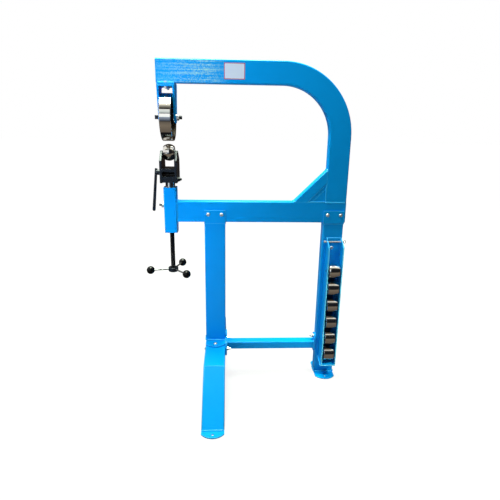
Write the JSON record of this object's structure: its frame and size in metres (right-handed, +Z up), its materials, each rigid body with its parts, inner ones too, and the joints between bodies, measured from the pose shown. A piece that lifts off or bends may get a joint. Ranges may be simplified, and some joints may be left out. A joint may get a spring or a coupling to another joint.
{
  "type": "english wheel",
  "caption": "Free-standing english wheel: a C-shaped tube frame with a large upper wheel over a crowned anvil wheel on a screw-lifted ram, and a rack of spare anvils.",
  "frame": {"origin": "middle of the bounding box's underside, on the floor", "axes": "+X from the wheels to the post, +Y to the back, +Z up"},
  "size_m": [0.9722, 1.05, 1.54],
  "materials": {
    "frame_paint": "gloss powder coat",
    "black_steel": "black oxide, satin",
    "polished_steel": "hardened steel, ground and polished",
    "chrome_ram": "hard chrome, ground",
    "zinc_plate": "bright zinc plate",
    "bronze": "turned bearing bronze",
    "ball_plastic": "polished phenolic"
  },
  "bodies": {
    "machine": {"top_arm": "frame_paint", "arm_bend": "frame_paint", "post": "frame_paint", "lower_beam": "frame_paint", "tube_caps": "frame_paint", "brace_tube": "frame_paint", "brace_filler": "frame_paint", "fork_pad": "frame_paint", "wheel_fork": "frame_paint", "fork_bolts": "zinc_plate", "wheel_spacers": "zinc_plate", "wheel_axle": "black_steel", "axle_nut": "zinc_plate", "sleeve": "frame_paint", "ram_bushes": "bronze", "screw_nut": "bronze", "lock_boss": "zinc_plate", "front_leg": "frame_paint", "rear_leg": "frame_paint", "front_saddle": "frame_paint", "rear_saddle": "frame_paint", "front_base_plate": "frame_paint", "rear_base_plate": "frame_paint", "foot_centre": "frame_paint", "foot_front_arm": "frame_paint", "foot_rear_arm": "frame_paint", "foot_front_tab": "frame_paint", "foot_rear_tab": "frame_paint", "stretcher": "frame_paint", "stretcher_left_plate": "frame_paint", "stretcher_right_plate": "frame_paint", "frame_bolts": "zinc_plate", "frame_nuts": "zinc_plate", "rack_channel": "frame_paint", "rack_floor": "frame_paint", "rack_axles": "black_steel"},
    "wheel": {"upper_wheel": "polished_steel", "wheel_bearings": "polished_steel"},
    "ram_head": {"ram": "chrome_ram", "yoke_base": "black_steel", "guide_pin": "black_steel", "screw_retainer": "zinc_plate"},
    "handwheel": {"screw": "black_steel", "handwheel_hub": "black_steel", "spokes": "zinc_plate", "ball_knobs": "ball_plastic"},
    "yoke": {"anvil_yoke": "black_steel", "anvil_axle": "black_steel"},
    "lever": {"cam_shaft": "black_steel", "quick_lever": "black_steel"},
    "lower_wheel": {"anvil": "polished_steel", "anvil_bearings": "polished_steel"},
    "lock": {"lock_screw": "black_steel"},
    "pin": {"rack_pin": "zinc_plate"},
    "spare_1": {"rack_anvil_1": "polished_steel"},
    "spare_2": {"rack_anvil_2": "polished_steel"},
    "spare_3": {"rack_anvil_3": "polished_steel"},
    "spare_4": {"rack_anvil_4": "polished_steel"},
    "spare_5": {"rack_anvil_5": "polished_steel"},
    "spare_6": {"rack_anvil_6": "polished_steel"}
  },
  "joints": [
    {"name": "upper_wheel_spin", "type": "hinge", "parent": "machine", "child": "wheel", "pos_m": [-0.35889, 0, 1.296], "axis": [1, 0, 0], "continuous": true},
    {"name": "ram_lift", "type": "slide", "parent": "machine", "child": "ram_head", "axis": [0, 0, 1], "range_m": [-0.016, 0.012]},
    {"name": "screw_turn", "type": "hinge", "parent": "ram_head", "child": "handwheel", "pos_m": [-0.35889, 0, 0.7], "axis": [0, 0, 1], "range_deg": [-1440, 1080]},
    {"name": "yoke_drop", "type": "slide", "parent": "ram_head", "child": "yoke", "axis": [0, 0, 1], "range_m": [-0.005, 0]},
    {"name": "lever_turn", "type": "hinge", "parent": "yoke", "child": "lever", "pos_m": [-0.35889, 0, 1.051], "axis": [-1, 0, 0], "range_deg": [0, 90]},
    {"name": "anvil_spin", "type": "hinge", "parent": "yoke", "child": "lower_wheel", "pos_m": [-0.35889, 0, 1.142], "axis": [1, 0, 0], "continuous": true},
    {"name": "lock_turn", "type": "hinge", "parent": "machine", "child": "lock", "pos_m": [-0.39889, 0, 0.898], "axis": [1, 0, 0], "range_deg": [-720, 45]},
    {"name": "rack_pin_slide", "type": "slide", "parent": "machine", "child": "pin", "axis": [1, 0, 0], "range_m": [-0.004, 0.005]},
    {"name": "rack_anvil_1_spin", "type": "hinge", "parent": "machine", "child": "spare_1", "pos_m": [0.42861, -0.067, 0.589], "axis": [1, 0, 0], "continuous": true},
    {"name": "rack_anvil_2_spin", "type": "hinge", "parent": "machine", "child": "spare_2", "pos_m": [0.42861, -0.067, 0.4992], "axis": [1, 0, 0], "continuous": true},
    {"name": "rack_anvil_3_spin", "type": "hinge", "parent": "machine", "child": "spare_3", "pos_m": [0.42861, -0.067, 0.4094], "axis": [1, 0, 0], "continuous": true},
    {"name": "rack_anvil_4_spin", "type": "hinge", "parent": "machine", "child": "spare_4", "pos_m": [0.42861, -0.067, 0.3196], "axis": [1, 0, 0], "continuous": true},
    {"name": "rack_anvil_5_spin", "type": "hinge", "parent": "machine", "child": "spare_5", "pos_m": [0.42861, -0.067, 0.2298], "axis": [1, 0, 0], "continuous": true},
    {"name": "rack_anvil_6_spin", "type": "hinge", "parent": "machine", "child": "spare_6", "pos_m": [0.42861, -0.067, 0.14], "axis": [1, 0, 0], "continuous": true}
  ],
  "couplings": [
    {"joint": "ram_lift", "follows": "screw_turn", "m_per_rad": 0.0006366},
    {"joint": "yoke_drop", "follows": "lever_turn", "m_per_rad": -0.003183}
  ]
}
